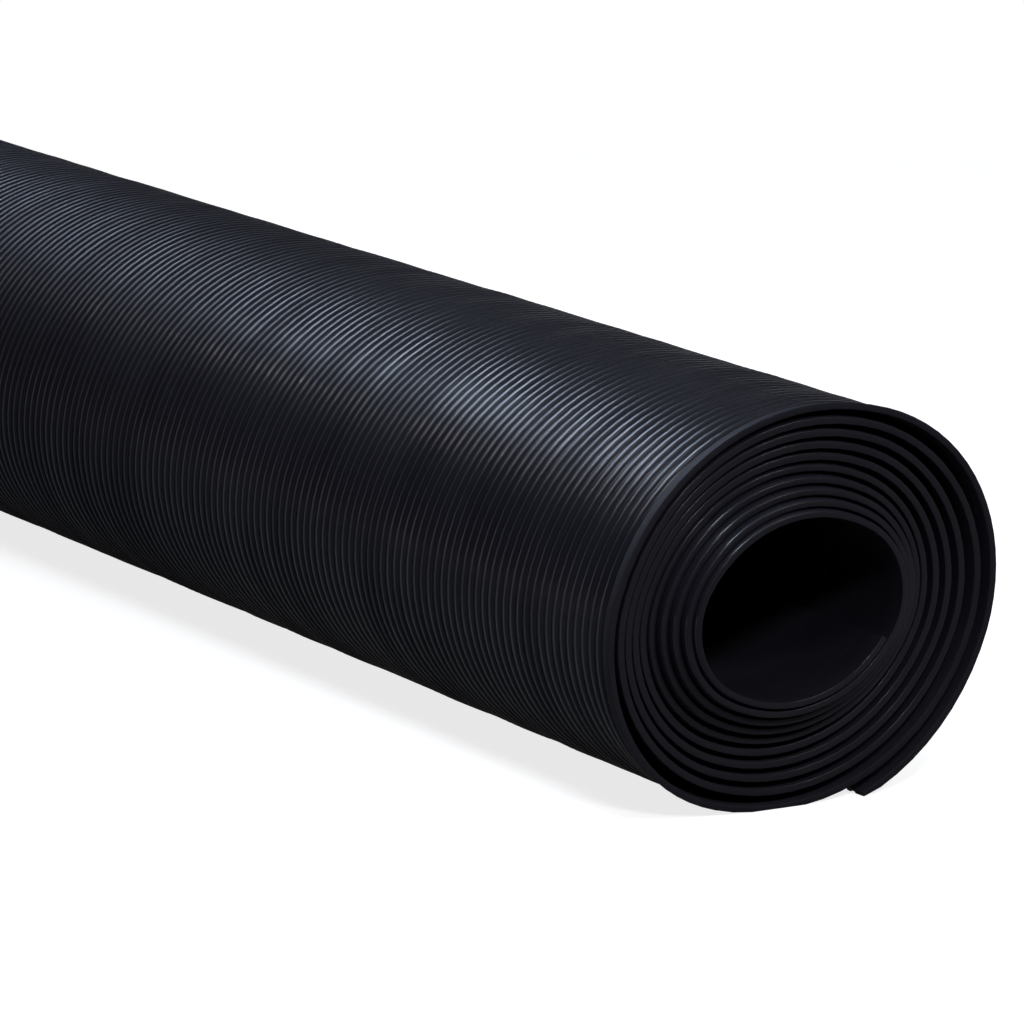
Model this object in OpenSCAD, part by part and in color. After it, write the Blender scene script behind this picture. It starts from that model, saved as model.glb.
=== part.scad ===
// Ribbed rubber floor mat, rolled up and lying on its side.
// One sheet: its smooth back faces the core, and its ribs face out and run round the roll.
// The section is a spiral of tangent arcs, four to a turn, drawn from the core outwards.

/* [Mat] */
// Width of the mat, which is the length of the roll
mat_w = 1000; // [300:10:1200]
// Thickness of the mat over its ribs
mat_t = 3; // [2.5:0.1:5]
// Height of a rib above the sheet
rib_h = 1; // [0.5:0.1:1.5]
// Width of a rib
rib_w = 3.6; // [2:0.1:4]
// Distance from one rib to the next, evened out to fill the mat's width
rib_pitch = 6; // [5:0.5:10]
// Width of the plain strip along each long edge
margin_w = 6.8; // [5:0.2:12]

/* [Roll] */
// Number of whole turns between the core and the tail
turns = 10; // [5:1:12]
// Radius of the hollow core at the two ends of its oval
core_end_r = 29.2; // [25:0.2:40]
// How much more radius the flatter arcs have than the arcs beside them
flat_r = 25; // [10:1:30]
// Lean of the oval's long axis at the core, in degrees
core_lean = 13; // [8:1:25]
// Lean of the oval's long axis at the outer layer, in degrees
outer_lean = 27; // [20:1:28]
// Clearance that each turn has to the next before it leans and flattens
turn_gap = 0.55; // [0.55:0.05:1]
// Slack that each turn has more than the turn inside it
slack_step = 0.22; // [0.1:0.02:0.24]
// Direction in which the inner end of the mat faces, in degrees
inner_end_angle = -35; // [-40:1:-34]
// How much more radius the loose tail has, so that it opens out towards the floor
tail_open = 3; // [1:0.5:20]
// How far the ribs are pressed flat where the roll lies on the floor
foot_sink = 0.15; // [0.05:0.05:0.4]

/* [Hidden] */
rubber = "#1c1c1f";
arc_steps = 144;
// Depth to which a rib is rooted in the sheet
rib_root = 0.5;
// Angle by which the inner arcs run into each other, and the hair's step out from each to the next
arc_overlap = 0.05;
arc_step = 0.02;

sheet_t = mat_t - rib_h;
// Ribs fill the width between the strips, with a groove before the first and after the last
rib_span = mat_w - 2 * margin_w + rib_w;
rib_count = round(rib_span / rib_pitch) - 1;
pitch = rib_span / (rib_count + 1);

// Arcs are numbered from the core: 0 lies under it, 1 at its left, 2 over it and 3 at its right
tail = 4 * turns;
outer = tail - 4;

function direction(angle) = [cos(angle), sin(angle)];

// Lean of the oval's long axis where arc k begins
function lean(k) = core_lean + (outer_lean - core_lean) * min(1, k / outer);

// Angle where arc k begins: the spiral runs clockwise as it grows
function arc_start(k) = k == 0 ? inner_end_angle : lean(k) - 45 - 90 * (k % 4);

// Angle where arc k ends, and the next one begins
function arc_end(k) = lean(k + 1) - 135 - 90 * (k % 4);

// Slack that has built up by arc k: it is let in over the top of each turn
function slack(k) = slack_step * pow(floor((k + 2) / 4), 2) / 2;

// Outer radius of arc k: the arcs under and over the core are the flatter ones
function outer_r(k) =
    core_end_r + mat_t + (k % 2 == 0 ? flat_r : 0) + (mat_t + turn_gap) * k / 4 + slack(k)
    + (k == tail ? tail_open : 0);

function step_after(k) = k < outer ? arc_step : 0;

// Centres of the arcs, each set so that its arc leaves the one before without a kink
centres = [
    for (
        k = 0, c = flat_r * sin(45) * direction(core_lean + 90);
        k <= tail;
        c = c + (outer_r(k) - outer_r(k + 1) + step_after(k)) * direction(arc_start(k + 1)),
        k = k + 1
    ) c
];

// Centres of the outer layer's arcs in its own frame, whose axes run through the joints
outer_centres = [
    for (
        k = outer, c = [0, 0];
        k <= tail;
        c = c + (outer_r(k) - outer_r(k + 1)) * direction(-90 * ((k + 1) % 4)), k = k + 1
    ) c
];
frame_turn = outer_lean - 45;

// The arcs of the outer layer give the size of the section
left_x = centres[outer + 1].x - outer_r(outer + 1);
right_x = centres[outer + 3].x + outer_r(outer + 3);
floor_y = centres[outer].y - outer_r(outer) + foot_sink;
mid_x = (left_x + right_x) / 2;

// The tail ends where its outer face comes down to the floor
tail_end = asin((floor_y - centres[tail].y) / outer_r(tail));

// Section of a full ring of thickness t
module ring(r, t) {
    difference() {
        circle(r, $fn = arc_steps);
        circle(r - t, $fn = arc_steps);
    }
}

// Sector of the plane between two angles
module sector(low, high, reach) {
    mid = (low + high) / 2;
    polygon([
        [0, 0],
        reach * direction(low),
        1.5 * reach * direction(mid),
        reach * direction(high)
    ]);
}

// Section of an arc inside the roll, where the ribs are pressed against the next turn
module inner_arc(k) {
    translate(centres[k])
        intersection() {
            ring(outer_r(k), mat_t);
            sector(
                arc_end(k) - arc_overlap,
                arc_start(k) + (k == 0 ? 0 : arc_overlap),
                2 * outer_r(k)
            );
        }
}

// Section of an arc of the outer layer, between two heights above the smooth back
module outer_arc(k, low, high) {
    translate(outer_centres[k - outer])
        intersection() {
            ring(outer_r(k) - mat_t + high, high - low);
            if (k == tail)
                sector(tail_end - frame_turn, 0, 2 * outer_r(k));
            else
                rotate(-90 * (k % 4) - 90) square(2 * outer_r(k));
        }
}

// Section of the whole outer layer between two heights, cut level with the floor
module outer_layer(low, high) {
    difference() {
        union() {
            for (k = [outer : tail]) outer_arc(k, low, high);
        }
        rotate(-frame_turn)
            translate([-mat_w, foot_sink - outer_r(outer) - mat_w])
                square([2 * mat_w, mat_w]);
    }
}

// Places the outer layer's frame in the spiral
module outer_frame() {
    translate(centres[outer]) rotate(frame_turn) children();
}

// The sheet itself, from its inner end to the tail
module sheet() {
    linear_extrude(mat_w, center = true) {
        for (k = [0 : outer - 1]) inner_arc(k);
        outer_frame() outer_layer(0, sheet_t);
    }
}

// The ribs that show, and the plain strips along the two long edges
module ribs() {
    outer_frame() {
        for (i = [1 : rib_count])
            translate([0, 0, (i - rib_count / 2 - 0.5) * pitch])
                linear_extrude(rib_w, center = true)
                    outer_layer(sheet_t - rib_root, mat_t);
        for (side = [-1, 1])
            translate([0, 0, side * (mat_w - margin_w) / 2])
                linear_extrude(margin_w, center = true)
                    outer_layer(sheet_t - rib_root, mat_t);
    }
}

module mat_roll() {
    color(rubber)
        rotate([90, 0, 0])
            translate([-mid_x, -floor_y, 0]) {
                sheet();
                ribs();
            }
}

mat_roll();
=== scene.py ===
# %% [markdown]
# # A ribbed rubber floor mat, rolled up
#
# The real thing is one long sheet of black rubber. Its back is smooth, and its face has
# round-topped ribs that run along the length of the sheet, so that they go round the roll.
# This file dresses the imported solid: it opens the frame, rolls one finely ribbed sheet in the
# same place, gives it a rubber finish, and sets up the light and the camera.

# %% Open the frame
import math
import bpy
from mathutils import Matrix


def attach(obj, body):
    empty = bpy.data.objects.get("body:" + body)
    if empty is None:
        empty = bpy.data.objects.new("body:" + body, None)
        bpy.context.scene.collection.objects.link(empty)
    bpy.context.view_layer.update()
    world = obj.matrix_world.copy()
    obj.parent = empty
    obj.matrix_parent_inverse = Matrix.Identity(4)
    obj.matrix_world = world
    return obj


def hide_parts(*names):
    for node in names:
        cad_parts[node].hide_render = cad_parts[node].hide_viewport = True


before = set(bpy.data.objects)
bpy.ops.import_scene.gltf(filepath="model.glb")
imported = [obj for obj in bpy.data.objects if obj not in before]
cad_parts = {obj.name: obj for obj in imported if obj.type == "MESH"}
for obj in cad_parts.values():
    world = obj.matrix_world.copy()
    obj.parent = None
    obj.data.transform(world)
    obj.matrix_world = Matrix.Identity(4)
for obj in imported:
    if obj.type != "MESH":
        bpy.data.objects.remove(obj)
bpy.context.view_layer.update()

from types import SimpleNamespace

import bmesh
import bpy
from mathutils import Matrix, Vector, noise

# %% [markdown]
# ## The rule of the spiral
#
# Seen from its near end, the roll is not a round spiral but a leaning oval one, because it
# sags under its own weight. Such a line could be drawn by hand, but then every turn would need
# its own points. Here it is a chain of circular arcs, four to a turn. Each arc starts on the
# line through the centres of itself and the arc before it, so the chain never has a kink.
# The arcs under and over the core have a larger radius, which makes the oval, and the line
# of the long axis leans a little more with each turn.

# %% Sizes of the mat and its roll, in millimetres and degrees
MM = 0.001

# The flat mat: its size, its ribs and the plain strip along each long edge
MAT_W = 1000.0
MAT_T = 3.0
RIB_H = 1.0
RIB_PITCH = 6.0
RIB_COUNT = 164
STRIP_W = 6.8
RIM = MAT_W / 2

TURNS = 10
# Radius of the core at the ends of its oval, and how much more its flatter arcs have
CORE_END_R = 29.2
FLAT_R = 25.0
# Lean of the oval's long axis at the core and at the outer layer
CORE_LEAN = 13.0
OUTER_LEAN = 27.0
# Clearance between turns, and the slack that each turn has more than the turn inside it
TURN_GAP = 0.55
SLACK_STEP = 0.22
# Where the sheet begins in the core, and how much more radius its loose tail has
INNER_END = -35.0
TAIL_OPEN = 3.0
# How far the ribs are pressed flat on the floor
FOOT_SINK = 0.15

# Arcs are numbered from the core, and the last four before the tail are the outer layer
TAIL = 4 * TURNS
OUTER = TAIL - 4
print("mat:", MAT_W, "mm wide, in", TAIL + 1, "arcs")


# %% Arcs of the spiral
def direction(angle):
    """Unit vector in the end plane: x to the right and z up, as seen from the near end."""
    a = math.radians(angle)
    return Vector((math.cos(a), 0, math.sin(a)))


def lean(k):
    """Lean of the oval's long axis where arc k begins."""
    return CORE_LEAN + (OUTER_LEAN - CORE_LEAN) * min(1, k / OUTER)


def radius(k):
    """Outer radius of arc k, with the slack that has built up by then."""
    flat = FLAT_R if k % 2 == 0 else 0
    if k == TAIL:
        flat += TAIL_OPEN
    slack = SLACK_STEP * ((k + 2) // 4) ** 2 / 2
    return CORE_END_R + MAT_T + flat + (MAT_T + TURN_GAP) * k / 4 + slack


def spiral():
    """The arcs from the core outwards: centre, outer radius, and angles of start and end."""
    arcs = []
    centre = FLAT_R * math.sin(math.radians(45)) * direction(CORE_LEAN + 90)
    for k in range(TAIL + 1):
        start = INNER_END if k == 0 else lean(k) - 45 - 90 * k
        end = lean(k + 1) - 135 - 90 * k
        if k:
            centre = centre + (radius(k - 1) - radius(k)) * direction(start)
        arcs.append(SimpleNamespace(centre=centre, r=radius(k), start=start, end=end))
    return arcs


# %% Place the spiral on the floor
ARCS = spiral()
low_arc, left_arc, right_arc = ARCS[OUTER], ARCS[OUTER + 1], ARCS[OUTER + 3]
left_x = left_arc.centre.x - left_arc.r
right_x = right_arc.centre.x + right_arc.r
floor_z = low_arc.centre.z - low_arc.r + FOOT_SINK
ORIGIN = Vector(((left_x + right_x) / 2, 0, floor_z))
for arc in ARCS:
    arc.centre = arc.centre - ORIGIN

# The tail ends where its outer face comes down to the floor
tail = ARCS[TAIL]
tail.end = math.degrees(math.asin(-tail.centre.z / tail.r)) - 360 * TURNS
print("section:", round(right_x - left_x, 1), "mm wide")
print("tail:", round(tail.start - tail.end, 1), "degrees")

# %% [markdown]
# ## The profile across the mat
#
# A cut straight across the mat shows its whole character: a flat back, a plain strip along
# each edge, and between the strips a row of ribs with rounded tops and narrow grooves.
# One rib is drawn with six points and copied along the width with the duplicate operator.
# Cutting the grooves into a block would give the same shape, but with far more faces. The
# profile goes on round the back, so that what is turned from it later is a solid sheet and
# not a skin.

# %% Points of the profile, as (place across the mat, height)
RIB_POINTS = [(-1.9, 0.0), (-1.5, 0.62), (-0.75, 1.0), (0.75, 1.0), (1.5, 0.62), (1.9, 0.0)]
# Width over which a plain strip falls away into its groove
GROOVE_FALL = 0.5
# The middle of a quarter round lies 0.29 of its radius in from each of its two faces
EDGE_ROUND = 0.42
EDGE_MID = 0.29 * EDGE_ROUND
# Extra thickness of the inner turns, which closes the gaps between them a little
TIGHT = 0.17
# Rows of points across the plain face and the back, closer where handling bends the sheet
LIP_STATIONS = [498.6, 497.2]
FACE_STATIONS = [488, 440, 250]
BACK_HALF = [488, 470, 440, 380, 250, 90]
BACK_STATIONS = BACK_HALF + [-y for y in BACK_HALF[::-1]]


def strip_points(side, ribbed):
    """The plain strip along one edge, from the rim inwards; side is -1 at the near end."""
    high = MAT_T if ribbed else MAT_T + TIGHT
    rows = [(RIM, high - EDGE_ROUND), (RIM - EDGE_MID, high - EDGE_MID), (RIM - EDGE_ROUND, high)]
    if ribbed:
        rows += [(RIM - STRIP_W + GROOVE_FALL, high), (RIM - STRIP_W, MAT_T - RIB_H)]
    else:
        lip = LIP_STATIONS if side < 0 else []
        rows += [(y, high) for y in lip + FACE_STATIONS]
    return [(side * y, h) for y, h in rows]


for ribbed in (True, False):
    print("near strip, ribbed:", ribbed, "points:", len(strip_points(-1, ribbed)))


# %% Runs of the profile
def profile_line(bm, points):
    """A run of joined vertices from (width, height) pairs."""
    verts = [bm.verts.new((0, y, h)) for y, h in points]
    edges = [bm.edges.new(pair) for pair in zip(verts, verts[1:])]
    return verts, edges


def rib_row(bm):
    """The row of ribs: the first is drawn, and the others are copies of it."""
    first = (1 - RIB_COUNT) / 2 * RIB_PITCH
    verts, edges = profile_line(bm, [(y + first, h + MAT_T - RIB_H) for y, h in RIB_POINTS])
    for i in range(1, RIB_COUNT):
        copy = bmesh.ops.duplicate(bm, geom=verts + edges)["geom"]
        copied = [g for g in copy if isinstance(g, bmesh.types.BMVert)]
        bmesh.ops.translate(bm, vec=(0, i * RIB_PITCH, 0), verts=copied)


def profile_runs(ribbed):
    """A bmesh with the runs of points round a cut across the mat."""
    bm = bmesh.new()
    near, far = strip_points(-1, ribbed), strip_points(1, ribbed)[::-1]
    if ribbed:
        profile_line(bm, near)
        rib_row(bm)
        profile_line(bm, far)
    else:
        profile_line(bm, near + far)
    corner = [(RIM, EDGE_ROUND), (RIM - EDGE_MID, EDGE_MID), (RIM - EDGE_ROUND, 0)]
    back = corner + [(y, 0) for y in BACK_STATIONS] + [(-y, h) for y, h in corner[::-1]]
    profile_line(bm, back)
    return bm


# %% [markdown]
# ## Closing the profile
#
# The runs above still have gaps between them: from each rib to the next across its groove,
# from the strips to the first and last rib, and round the two rims. Each gap is one edge.
# Sorting the open ends from side to side puts the two ends of each gap next to each other,
# which is simpler than remembering every vertex while the runs are made.

# %% Join the runs of the profile
def make_profile(ribbed):
    """The runs, joined by the groove floors and the rims into one closed line."""
    bm = profile_runs(ribbed)
    open_ends = [v for v in bm.verts if len(v.link_edges) == 1]
    face_side = sorted((v for v in open_ends if v.co.z > MAT_T / 2), key=lambda v: v.co.y)
    back_side = sorted((v for v in open_ends if v.co.z <= MAT_T / 2), key=lambda v: v.co.y)
    inner = face_side[1:-1]
    for pair in zip(inner[::2], inner[1::2]):
        bm.edges.new(pair)
    bm.edges.new((back_side[0], face_side[0]))
    bm.edges.new((back_side[-1], face_side[-1]))
    return bm


for ribbed in (False, True):
    bm = make_profile(ribbed)
    closed = all(len(v.link_edges) == 2 for v in bm.verts)
    print("ribbed" if ribbed else "plain", "profile:", len(bm.verts), "points, closed:", closed)
    bm.free()

# %% [markdown]
# ## Rolling the sheet
#
# The spin operator turns a line about an axis. Here it is called once for each arc of the
# spiral, each time from where the last one ended, so the sheet grows turn by turn, as it is
# rolled in real life. A simpler way would be to bend a flat grid with a modifier, but then
# the arcs would not be true. The nine inner turns hide their ribs between them, so they are
# spun from the plain profile, and the ribbed one takes over under the tail, out of sight.
# Each vertex keeps two numbers for the next steps: how many turns it is away from the core,
# and how high it is above the back of the sheet.

# %% Spin the arcs
STEP_PLAIN = 6.0
STEP_RIBBED = 5.0
# Angle under the tail at which the ribbed length follows the plain one
HAND_OVER = -47.0 - 360 * (TURNS - 1)


def start_sheet(ribbed, arc, angle):
    """Stands the flat profile up where the sheet begins, with its back towards the core."""
    bm = make_profile(ribbed)
    wound = bm.verts.layers.float.new("wound")
    height = bm.verts.layers.float.new("height")
    for v in bm.verts:
        v[wound] = -angle / 360
        v[height] = v.co.z
    d, side = direction(angle), Vector((0, 1, 0))
    turn = Matrix((d.cross(side), side, d)).transposed().to_4x4()
    base = arc.centre + (arc.r - MAT_T) * d
    bmesh.ops.transform(bm, matrix=Matrix.Translation(base) @ turn, verts=bm.verts[:])
    return bm


def spin_sheet(ribbed, runs, step):
    """Turns the profile through runs of (arc, start, end) and caps both ends of the sheet."""
    first_arc, first_angle, _ = runs[0]
    bm = start_sheet(ribbed, first_arc, first_angle)
    wound = bm.verts.layers.float["wound"]
    line = bm.edges[:]
    bmesh.ops.edgenet_fill(bm, edges=line)
    for arc, start, end in runs:
        steps = max(1, round((start - end) / step))
        known = len(bm.verts)
        made = bmesh.ops.spin(
            bm, geom=line, cent=arc.centre, axis=(0, 1, 0), dvec=(0, 0, 0),
            angle=math.radians(start - end), steps=steps, use_merge=False,
            use_normal_flip=False, use_duplicate=False,
        )
        line = [g for g in made["geom_last"] if isinstance(g, bmesh.types.BMEdge)]
        for v in bm.verts[known:]:
            arm = v.co - arc.centre
            past = (start - math.degrees(math.atan2(arm.z, arm.x))) % 360
            v[wound] = (past - start) / 360
    bmesh.ops.edgenet_fill(bm, edges=line)
    return bm


inner_runs = [(arc, arc.start, arc.end) for arc in ARCS[:OUTER]]
inner_runs += [(low_arc, low_arc.start, HAND_OVER)]
outer_runs = [(low_arc, HAND_OVER, low_arc.end)]
outer_runs += [(arc, arc.start, arc.end) for arc in ARCS[OUTER + 1:]]
inner = spin_sheet(False, inner_runs, STEP_PLAIN)
outer = spin_sheet(True, outer_runs, STEP_RIBBED)
print("inner turns:", len(inner.faces), "faces; outer layer:", len(outer.faces), "faces")

# %% [markdown]
# ## One mesh
#
# Both lengths of the sheet go into one mesh, because they are one piece of rubber. They meet
# end to end under the tail. Spinning can leave faces pointing inwards, so the normals are
# worked out again while both shells are closed.

# %% Put the two lengths together
mesh = bpy.data.meshes.new("rolled_mat")
inner.to_mesh(mesh)
inner.free()
outer.from_mesh(mesh)
bmesh.ops.recalc_face_normals(outer, faces=outer.faces[:])
open_edges = [e for e in outer.edges if not e.is_manifold]
print("whole roll:", len(outer.verts), "points,", len(open_edges), "open edges")

# %% [markdown]
# ## What handling did to it
#
# A roll that a person has wound is never even. Its inner turns have slid out of the near
# end by a few millimetres each, and the face of the innermost ones is worn round at the edge.
# The outer layer is not pulled down tight, so it waves slightly, its edge curls up a little,
# and it stands off the roll in two places at the near end. Sculpting could give all this, but
# here it is moves of the finished mesh that a formula gives: a slide along the roll that
# grows towards the core, and small shifts along each point's radius.

# %% Sizes of the slide, wear, curl, flares and waves
# The slide is full at the first number of turns from the core and none from the second on
SLIDE = 14.9
SLIDE_TURNS = (0.98, 4.79)
# The worn lip: how deep and wide it is, and after how many turns it starts to fade
LIP = 0.6
LIP_W = 3.0
LIP_TURNS = 4.4
# What only the loose outer layer does, which starts at this number of turns
LOOSE_FROM = TURNS - 1.2
LOOSE_OVER = 0.3
CURL = 1.0
CURL_W = 8.0
# Flares as (angle round the roll, size), and how far they reach along and around it
FLARES = [(35, 1.3), (224, 1.9)]
FLARE_W = 24.0
FLARE_ANGLE = 40.0
# Waves as (size, length along the roll, length around it)
WAVES = [(0.35, 160.0, 160.0), (0.4, 26.0, 90.0), (0.08, 9.0, 70.0)]
# Height of the axis that the shifts point away from
MIDDLE_Z = 83.0
print("slide:", SLIDE, "mm at the core;", len(FLARES), "flares,", len(WAVES), "sizes of wave")


# %% Move the points
def clamp(x):
    return min(1, max(0, x))


def smooth(x):
    """0 up to 0, 1 from 1 on, and an S-shaped rise between."""
    return clamp(x) ** 2 * (3 - 2 * clamp(x))


def handled(co, wound, height):
    """Where a point of the tidy roll ends up after handling."""
    out = Vector((co.x, 0, co.z - MIDDLE_Z)).normalized()
    angle = math.degrees(math.atan2(out.z, out.x)) % 360
    inset = co.y + RIM
    full, none = SLIDE_TURNS
    slide = SLIDE * clamp((none - wound) / (none - full))
    lip = LIP * clamp(1 - inset / LIP_W) ** 2 * smooth(LIP_TURNS + 1 - wound)
    curl = CURL * clamp(1 - inset / CURL_W) ** 2
    flare = sum(size * smooth(1 - abs(angle - at) / FLARE_ANGLE) for at, size in FLARES)
    flare *= smooth(1 - inset / FLARE_W)
    wave = sum(
        size * noise.noise(Vector((co.x / around, co.y / along, co.z / around)))
        for size, along, around in WAVES
    )
    loose = smooth((wound - LOOSE_FROM) / LOOSE_OVER)
    shift = loose * (curl + flare + wave) - lip * clamp(height / MAT_T)
    return co + out * shift - Vector((0, slide, 0))


wound = outer.verts.layers.float["wound"]
height = outer.verts.layers.float["height"]
for v in outer.verts:
    v.co = handled(v.co, v[wound], v[height])
    v.co.z = max(v.co.z, 0)
print("lowest point:", round(min(v.co.z for v in outer.verts), 3), "mm")

# %% Make the piece
# Edges that turn by more degrees than this stay sharp
SHARP_FROM = 50

bmesh.ops.scale(outer, vec=(MM, MM, MM), verts=outer.verts[:])
outer.to_mesh(mesh)
outer.free()
rolled_mat = bpy.data.objects.new("rolled_mat", mesh)
bpy.context.scene.collection.objects.link(rolled_mat)
mesh.shade_smooth()
mesh.set_sharp_from_angle(angle=math.radians(SHARP_FROM))
mesh.calc_loop_triangles()
print("rolled_mat:", len(mesh.loop_triangles), "triangles")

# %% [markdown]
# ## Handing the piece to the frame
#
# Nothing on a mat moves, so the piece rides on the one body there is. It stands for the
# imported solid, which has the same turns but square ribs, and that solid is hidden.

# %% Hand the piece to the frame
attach(rolled_mat, "root")
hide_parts("mat_roll")
print("rolled_mat stands for mat_roll")


# %% [markdown]
# ## Shader maths as plain expressions
#
# A material is a graph of nodes. Wiring every Math node by hand hides the idea, so a small
# class wraps a socket and lets Python's own operators add the Math nodes. Every other node
# comes from one function, which takes its settings and the values or links of its sockets.

# %% A socket that can be calculated with
class Sock:
    """An output of a node, which can be added, subtracted and multiplied."""

    def __init__(self, tree, socket):
        self.tree, self.socket = tree, socket

    def math(self, operation, *others):
        return node(self.tree, "ShaderNodeMath", {"operation": operation}, [self, *others])

    def __add__(self, other):
        return self.math("ADD", other)

    __radd__ = __add__

    def __sub__(self, other):
        return self.math("SUBTRACT", other)

    def __rsub__(self, other):
        return node(self.tree, "ShaderNodeMath", {"operation": "SUBTRACT"}, [other, self])

    def __mul__(self, other):
        return self.math("MULTIPLY", other)

    __rmul__ = __mul__

    def ramp(self, low, high):
        """0 below low, 1 above high, and a smooth rise between."""
        settings = {"interpolation_type": "SMOOTHSTEP"}
        values = {"Value": self, "From Min": low, "From Max": high}
        return node(self.tree, "ShaderNodeMapRange", settings, values)


# %% Nodes
# Places of a colour Mix node's sockets, whose names are not unique
MIX_FACTOR, MIX_A, MIX_B, MIX_RESULT = 0, 6, 7, 2


def node(tree, kind, settings=None, values=None, output=0):
    """Adds a node, sets it up, fills its sockets and returns one output."""
    made = tree.nodes.new(kind)
    for name, value in (settings or {}).items():
        setattr(made, name, value)
    pairs = enumerate(values) if isinstance(values, list) else (values or {}).items()
    for key, value in pairs:
        if isinstance(value, Sock):
            tree.links.new(value.socket, made.inputs[key])
        else:
            made.inputs[key].default_value = value
    return Sock(tree, made.outputs[output])


def mix_colour(tree, factor, a, b):
    """Colour a where the factor is 0, and colour b where it is 1."""
    values = {MIX_FACTOR: factor, MIX_A: a, MIX_B: b}
    return node(tree, "ShaderNodeMix", {"data_type": "RGBA"}, values, MIX_RESULT)


def part_of(tree, vector, axis):
    """One of a vector's three parts, by the name of its axis."""
    return node(tree, "ShaderNodeSeparateXYZ", None, {"Vector": vector}, axis)


def cloudy(tree, place, scale, detail, squeeze=1, roughness=0.5):
    """A noise, squeezed along the roll where squeeze is more than 1."""
    if squeeze != 1:
        place = node(tree, "ShaderNodeMapping", None, {"Vector": place, "Scale": (1, squeeze, 1)})
    values = {"Vector": place, "Scale": scale, "Detail": detail, "Roughness": roughness}
    return node(tree, "ShaderNodeTexNoise", None, values)


# %% [markdown]
# ## Black matting rubber
#
# Carbon black makes the rubber almost black, and the calender leaves it with a satin skin
# that throws a broad soft highlight. A picture of rubber could be laid on it, but noises in
# object space need no file and stay where they are on the sheet. The bloom on the skin is
# thicker here and there, fine scuffs run along the ribs, the gloss changes in bands a few
# ribs wide, and a few specks of dust sit on top. Some places differ as a whole, so each has
# a mask: the far part has a broader gloss, the plain strips of the outer layer are matt, and
# the worn lip of the innermost turns is polished.

# %% Where the rubber looks different
# Limits of each mask's rise: metres along the roll, turns from the core, or part of a normal
FAR_PART = (-0.35, 0.1)
STRIP_FROM = (0.4925, 0.4935)
OUTER_TURNS = (8.85, 9.05)
LIP_FADE = (LIP_TURNS, LIP_TURNS + 1)
LIP_END = (-0.502, -0.497)
CUT_FACE = (0.3, 0.6)


def rubber_places(tree, place):
    """Masks of the cut faces, the far part, the outer strips and the worn lip."""
    along = part_of(tree, place, "Y")
    turn = node(tree, "ShaderNodeAttribute", {"attribute_name": "wound"}, None, "Fac")
    facing = node(tree, "ShaderNodeNewGeometry", output="Normal")
    cut = part_of(tree, facing, "Y").math("ABSOLUTE").ramp(*CUT_FACE)
    far = along.ramp(*FAR_PART)
    strip = along.math("ABSOLUTE").ramp(*STRIP_FROM) * turn.ramp(*OUTER_TURNS)
    lip = (1 - turn.ramp(*LIP_FADE)) * (1 - along.ramp(*LIP_END)) * (1 - cut)
    return cut, far, strip, lip


def rubber_marks(tree, place):
    """Masks of the scuffs, the bloom, the gloss bands and the specks of dust."""
    scuff = cloudy(tree, place, scale=26.0, detail=3.0, squeeze=14)
    cloud = cloudy(tree, place, scale=9.0, detail=4.0)
    bloom = cloud.ramp(0.35, 0.75) * 0.5 + scuff.ramp(0.4, 0.8) * 0.3
    band = cloudy(tree, place, scale=5.5, detail=5.0, squeeze=8, roughness=0.65)
    gloss = band.ramp(0.38, 0.6)
    fleck = node(tree, "ShaderNodeTexVoronoi", None, {"Vector": place, "Scale": 55.0})
    rare = cloudy(tree, place, scale=31.0, detail=0.0)
    dust = (1 - fleck.ramp(0.03, 0.05)) * rare.ramp(0.66, 0.7)
    return scuff, bloom, gloss, dust


# %% Rubber material
RUBBER = (0.0052, 0.0050, 0.0074, 1)
BLOOM = (0.0095, 0.0093, 0.0125, 1)
DUST = (0.12, 0.12, 0.12, 1)
# Roughness, and weight of the clear skin, before the marks change them
ROUGHNESS = 0.37
SKIN = 0.015
# Fine grain all over, less than a millimetre across and 0.2 mm deep at full strength
GRAIN_SCALE = 1400.0
GRAIN_BUMP = {"Strength": 0.12, "Distance": 0.0002}


def rubber_material():
    """Black rubber, whose marks change its colour, its roughness and its clear skin."""
    material = bpy.data.materials.new("mat_rubber_skin")
    material.use_nodes = True
    tree = material.node_tree
    place = node(tree, "ShaderNodeTexCoord", output="Object")
    cut, far, strip, lip = rubber_places(tree, place)
    scuff, bloom, gloss, dust = rubber_marks(tree, place)
    dust = dust * (1 - cut)
    clean = mix_colour(tree, bloom, RUBBER, BLOOM)
    rough = ROUGHNESS + scuff * 0.08 + dust * 0.3 + far * 0.09 + strip * 0.34 - gloss * 0.11
    grain = cloudy(tree, place, scale=GRAIN_SCALE, detail=2.0)
    wired = {
        "Base Color": mix_colour(tree, dust * 0.6, clean, DUST),
        "Roughness": rough,
        "Coat Weight": (SKIN + gloss * 0.06) * (1 - far * 0.7) * (1 - strip) + lip * 0.5,
        "Normal": node(tree, "ShaderNodeBump", None, {"Height": grain, **GRAIN_BUMP}),
    }
    shader = tree.nodes["Principled BSDF"]
    for name, value in wired.items():
        tree.links.new(value.socket, shader.inputs[name])
    shader.inputs["Specular IOR Level"].default_value = 0.05
    shader.inputs["Coat Roughness"].default_value = 0.16
    return material


mesh.materials.append(rubber_material())
print("rubber:", len(mesh.materials[0].node_tree.nodes), "nodes")

# %% [markdown]
# ## The camera
#
# The near end is 2.81 m away and the lens is a long one, so the roll narrows only gently
# towards its far end. A camera can be placed by eye, but here one point of the near end is
# known in the picture: the offsets below say how far right and up of the lens axis it lies,
# and the eye is put back from it along the line of sight.

# %% Camera
# The lens and the scale in the plane of the near end, in pixels of the picture
FRAME_PX = 1024.0
FOCAL_PX = 6800.0
NEAR_PX_PER_MM = 2.42
# A point in that plane, in the picture and in the millimetres of the unplaced spiral
ANCHOR_PX = (810.0, 610.0)
ANCHOR_MM = Vector((14.0, -RIM, -3.0))
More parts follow.
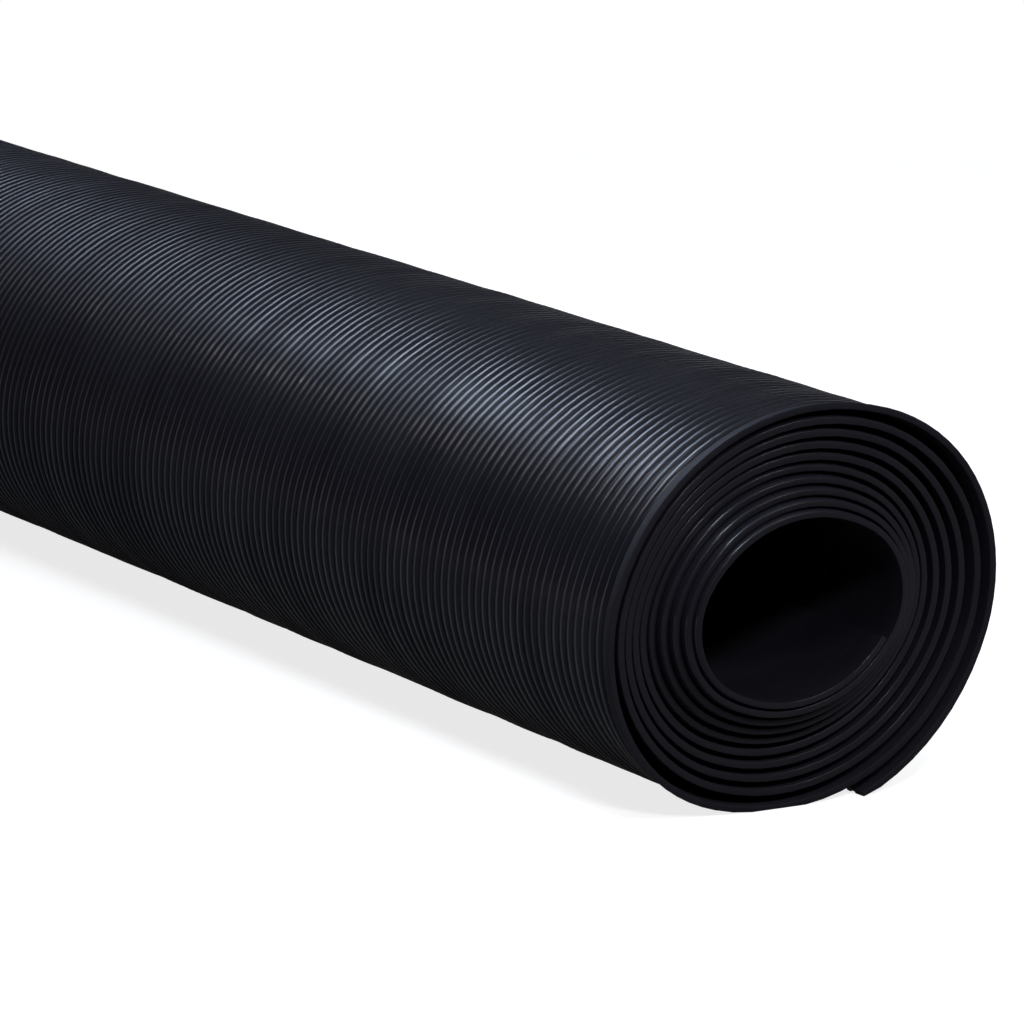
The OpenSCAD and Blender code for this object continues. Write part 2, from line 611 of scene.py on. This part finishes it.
# The direction of sight
LOOK = Vector((0.479239, 0.854075, -0.202206)).normalized()

anchor = (ANCHOR_MM - Vector((ORIGIN.x, 0, ORIGIN.z))) * MM
right = LOOK.cross(Vector((0, 0, 1))).normalized()
up = right.cross(LOOK)
off_right = (ANCHOR_PX[0] - FRAME_PX / 2) / FOCAL_PX
off_up = (FRAME_PX / 2 - ANCHOR_PX[1]) / FOCAL_PX
eye = anchor - FOCAL_PX / NEAR_PX_PER_MM * MM * (LOOK + off_right * right + off_up * up)
camera_data = bpy.data.cameras.new("camera")
camera_data.sensor_width = 36.0
camera_data.lens = FOCAL_PX * camera_data.sensor_width / FRAME_PX
camera_data.clip_end = 50
camera = bpy.data.objects.new("camera", camera_data)
camera.matrix_world = Matrix.Translation(eye) @ Matrix((right, up, -LOOK)).transposed().to_4x4()
bpy.context.scene.collection.objects.link(camera)
bpy.context.scene.camera = camera
print("camera at", [round(c, 3) for c in eye], "lens", round(camera_data.lens, 1), "mm")

# %% [markdown]
# ## Light
#
# Black rubber shows its shape almost only by what it mirrors, so each soft box below is there
# for one highlight. A single large box would be simpler, but its highlight on the ribs would
# be too even. Each box's place follows from the rule of mirrors: the surface that shines is
# the one whose normal lies halfway between the eye and the box.

# %% Soft boxes
# Each has its place, what it aims at, its two sides in metres, its watts and its colour
LAMPS = {
    # Above and beyond the far end: the broad pale band along the roll
    "band_box": ((-0.04, 1.0, 0.92), (0, -0.1, 0.15), (0.55, 0.3), 18, (0.66, 0.77, 1.0)),
    # Over the near half, on the left: carries the band on to the near end
    "near_box": ((-0.28, -0.06, 0.6), (-0.04, -0.5, 0.16), (0.12, 0.12), 0.7, (0.72, 0.88, 1.0)),
    # Far beyond the far end, on the left: the thin warm streak below the band
    "streak_box": ((-0.78, 2.55, 1.47), (0, 0, 0.1), (0.06, 0.06), 5, (1.0, 0.9, 0.88)),
    # Wide and overhead: a weak sheen on top of the roll
    "top_box": ((0.3, -0.2, 2.0), (0, -0.1, 0.1), (1.6, 1.6), 15, (0.76, 0.9, 1.0)),
    # Above the camera and to the right of it: the cut faces and the low left side
    "left_box": ((-0.56, -2.13, 1.45), (0, -0.5, 0.1), (0.3, 0.3), 34, (0.98, 0.96, 1.0)),
    "right_box": ((0.9, -2.4, 1.9), (0, -0.5, 0.1), (0.6, 0.6), 44, (1.0, 1.0, 1.0)),
    # Small and close above the near end: the bright arcs on the worn lip
    "side_box": ((-0.18, -0.471, 0.525), (-0.05, -0.505, 0.125), (0.08, 0.08), 1, (0.7, 0.85, 1.0)),
}


def soft_box(name, place, target, size, power, colour):
    """An area lamp, turned towards its target."""
    lamp = bpy.data.lights.new(name, "AREA")
    lamp.shape = "RECTANGLE"
    lamp.size, lamp.size_y = size
    lamp.energy = power
    lamp.color = colour
    holder = bpy.data.objects.new(name, lamp)
    aim = (Vector(target) - Vector(place)).to_track_quat("-Z", "Y")
    holder.matrix_world = Matrix.Translation(place) @ aim.to_matrix().to_4x4()
    bpy.context.scene.collection.objects.link(holder)


for name, row in LAMPS.items():
    soft_box(name, *row)
print("soft boxes:", len(LAMPS))


# %% [markdown]
# ## Sky
#
# The background is pure white, but a white sky would turn the black rubber grey. The Light
# Path node tells the rays apart: the camera sees white, and mirror and glass rays see it
# too, low down, as a white wall round the floor. All other light from the sky is dim.

# %% White to the camera, dim as light
SKY_FILL = 0.02
# How steeply a mirror ray may rise before it misses the wall
WALL_HEIGHT = (0.02, 0.12)


def seen_rays(tree):
    """1 for camera rays, and 1 for mirror and glass rays."""
    kinds = ("Is Camera Ray", "Is Glossy Ray", "Is Transmission Ray")
    seen, mirrored, through = [node(tree, "ShaderNodeLightPath", output=kind) for kind in kinds]
    return seen, mirrored + through


world = bpy.data.worlds.new("studio")
bpy.context.scene.world = world
world.use_nodes = True
sky = world.node_tree
camera_ray, mirror_ray = seen_rays(sky)
upward = part_of(sky, node(sky, "ShaderNodeTexCoord", output="Generated"), "Z")
wall = 1 - upward.ramp(*WALL_HEIGHT)
strength = SKY_FILL + (camera_ray + mirror_ray * wall) * (1 - SKY_FILL)
sky.links.new(strength.socket, sky.nodes["Background"].inputs["Strength"])
sky.nodes["Background"].inputs["Color"].default_value = (1, 1, 1, 1)
print("sky:", len(sky.nodes), "nodes, light at", SKY_FILL)

# %% [markdown]
# ## Floor
#
# A floor that is white by light alone would need strong lamps, and they would bleach the
# roll. So it is a grey floor that glows by itself. Near the roll it takes a soft shadow, and
# from there it fades into pure white. Mirror rays see its near part darker, because a bright
# floor there would show as a pale glow on the low side of the roll, which is really dark.

# %% Floor
FLOOR_HALF = 12
# Distances from the middle over which the floor turns white, to the camera and in mirrors
FADE = (0.7, 1.6)
MIRROR_FADE = (1.2, 3.0)
NEAR_GLOW = 0.8
NEAR_MIRROR_GLOW = 0.1
FLOOR_GREY = (0.3, 0.3, 0.3, 1)
NO_COLOUR = (0, 0, 0, 1)

floor_mesh = bpy.data.meshes.new("floor")
plane = bmesh.new()
bmesh.ops.create_grid(plane, x_segments=1, y_segments=1, size=FLOOR_HALF)
plane.to_mesh(floor_mesh)
plane.free()
floor = bpy.data.objects.new("floor", floor_mesh)
bpy.context.scene.collection.objects.link(floor)
print("floor:", 2 * FLOOR_HALF, "m square")


# %% Floor material
def floor_material():
    """White where the camera sees it, darkened only by the roll's shadow."""
    material = bpy.data.materials.new("floor_white")
    material.use_nodes = True
    tree = material.node_tree
    place = node(tree, "ShaderNodeTexCoord", output="Object")
    reach = node(tree, "ShaderNodeVectorMath", {"operation": "LENGTH"}, [place], "Value")
    far, distant = reach.ramp(*FADE), reach.ramp(*MIRROR_FADE)
    camera_ray, mirror_ray = seen_rays(tree)
    glow = camera_ray * (NEAR_GLOW + far * (1 - NEAR_GLOW))
    glow = glow + mirror_ray * (NEAR_MIRROR_GLOW + distant * (1 - NEAR_MIRROR_GLOW))
    colour = mix_colour(tree, far, FLOOR_GREY, NO_COLOUR)
    white = node(tree, "ShaderNodeCombineXYZ", None, [glow, glow, glow])
    shader = tree.nodes["Principled BSDF"]
    tree.links.new(colour.socket, shader.inputs["Base Color"])
    tree.links.new(white.socket, shader.inputs["Emission Color"])
    shader.inputs["Emission Strength"].default_value = 1.0
    shader.inputs["Roughness"].default_value = 1.0
    shader.inputs["Specular IOR Level"].default_value = 0.0
    return material


floor_mesh.materials.append(floor_material())
bpy.context.scene.view_settings.view_transform = "Standard"
print("floor material:", len(floor_mesh.materials[0].node_tree.nodes), "nodes")
